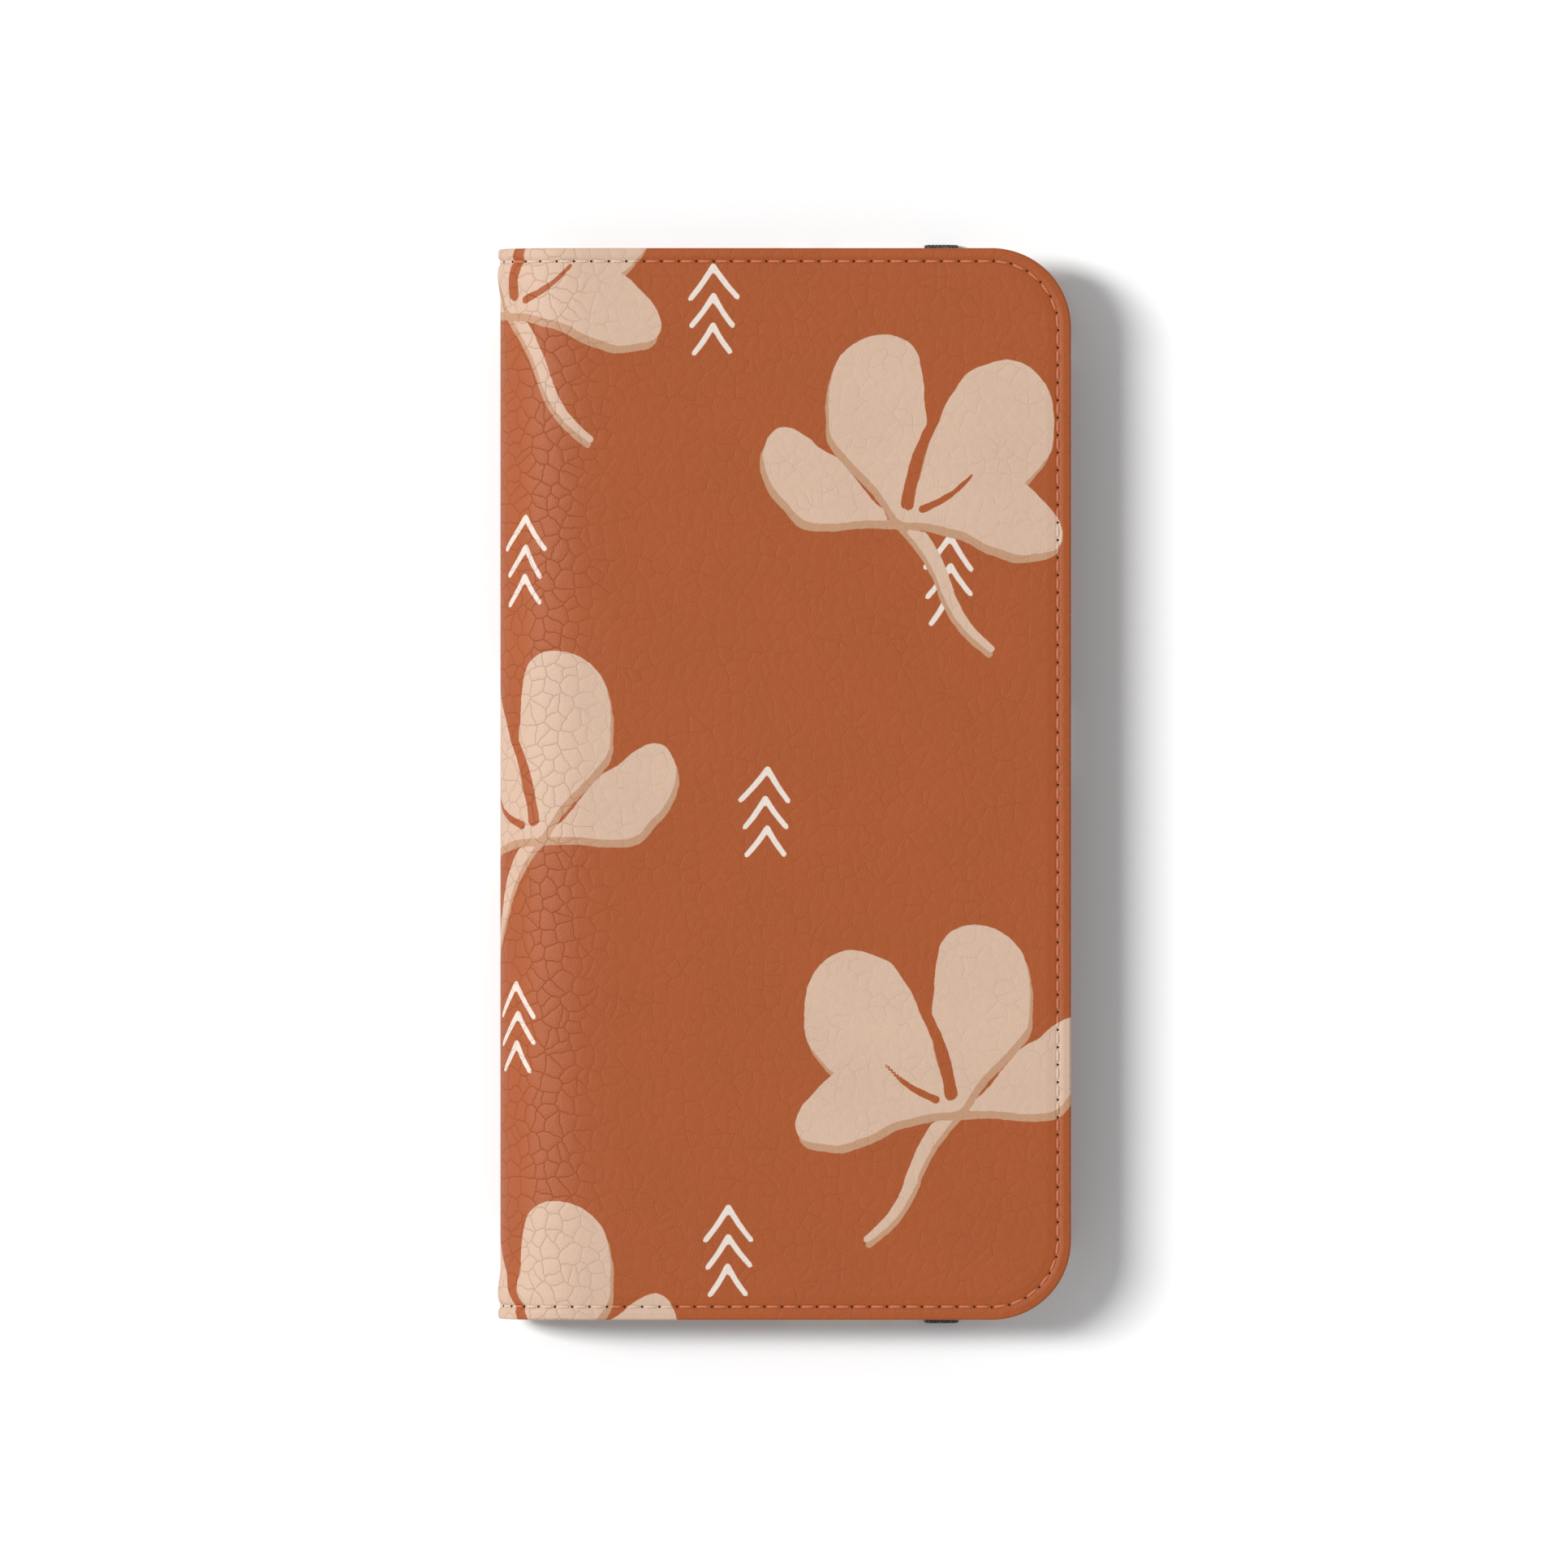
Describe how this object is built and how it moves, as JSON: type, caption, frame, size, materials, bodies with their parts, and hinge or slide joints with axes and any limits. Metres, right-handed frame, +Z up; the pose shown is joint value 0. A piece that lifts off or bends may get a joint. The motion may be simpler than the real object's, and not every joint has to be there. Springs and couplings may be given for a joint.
{
  "type": "folio phone case",
  "caption": "Book-style wallet case for a phone: printed leather-look cover, soft spine, snap-in shell, card pockets and elastic closure.",
  "frame": {"origin": "middle of the underside of the closed case, on the surface it lies on", "axes": "+X from the spine to the free edge, +Y towards the top end of the phone, +Z up, from the back cover to the front cover"},
  "size_m": [0.0846, 0.1588, 0.0166],
  "materials": {
    "printed_skin": "satin pebbled leather-look with a cream floral print",
    "board": "raw grey board",
    "lining": "matt microfibre",
    "pad": "foam adhesive pad",
    "shell": "satin moulded",
    "thread": "waxed sewing thread",
    "elastic": "woven elastic, heather black",
    "pocket": "plain pebbled leather-look"
  },
  "bodies": {
    "back_cover": {"back_skin": "printed_skin", "back_board": "board", "back_lining": "lining", "adhesive_pad": "pad", "phone_shell": "shell", "back_stitching": "thread", "strap_tack_top": "thread", "strap_tack_bottom": "thread"},
    "spine_lower": {"spine_lower_skin": "printed_skin", "spine_lower_lining": "lining", "spine_lower_stitching": "thread"},
    "spine_upper": {"spine_upper_skin": "printed_skin", "spine_upper_lining": "lining", "spine_upper_stitching": "thread"},
    "front_cover": {"front_skin": "printed_skin", "front_board": "board", "front_lining": "lining", "bill_pocket_panel": "pocket", "card_pocket_inner": "pocket", "card_pocket_middle": "pocket", "card_pocket_outer": "pocket", "front_stitching": "thread", "pocket_stitching": "thread"},
    "closure_strap": {"elastic_strap": "elastic"}
  },
  "joints": [
    {"name": "cover_opening", "type": "hinge", "parent": "back_cover", "child": "spine_lower", "pos_m": [-0.03765, 0, 0.0019], "axis": [0, -1, 0], "range_deg": [0, 60]},
    {"name": "spine_fold", "type": "hinge", "parent": "spine_lower", "child": "spine_upper", "pos_m": [-0.04135, 0, 0.0083], "axis": [0, -1, 0], "range_deg": [0, 60]},
    {"name": "front_fold", "type": "hinge", "parent": "spine_upper", "child": "front_cover", "pos_m": [-0.03765, 0, 0.0147], "axis": [0, -1, 0], "range_deg": [0, 60]},
    {"name": "strap_stretch", "type": "slide", "parent": "back_cover", "child": "closure_strap", "axis": [0, 0, 1], "range_m": [0, 0.01665], "deforming": ["elastic_strap"]}
  ],
  "couplings": [
    {"joint": "spine_fold", "follows": "cover_opening", "ratio": 1},
    {"joint": "front_fold", "follows": "cover_opening", "ratio": 1}
  ]
}
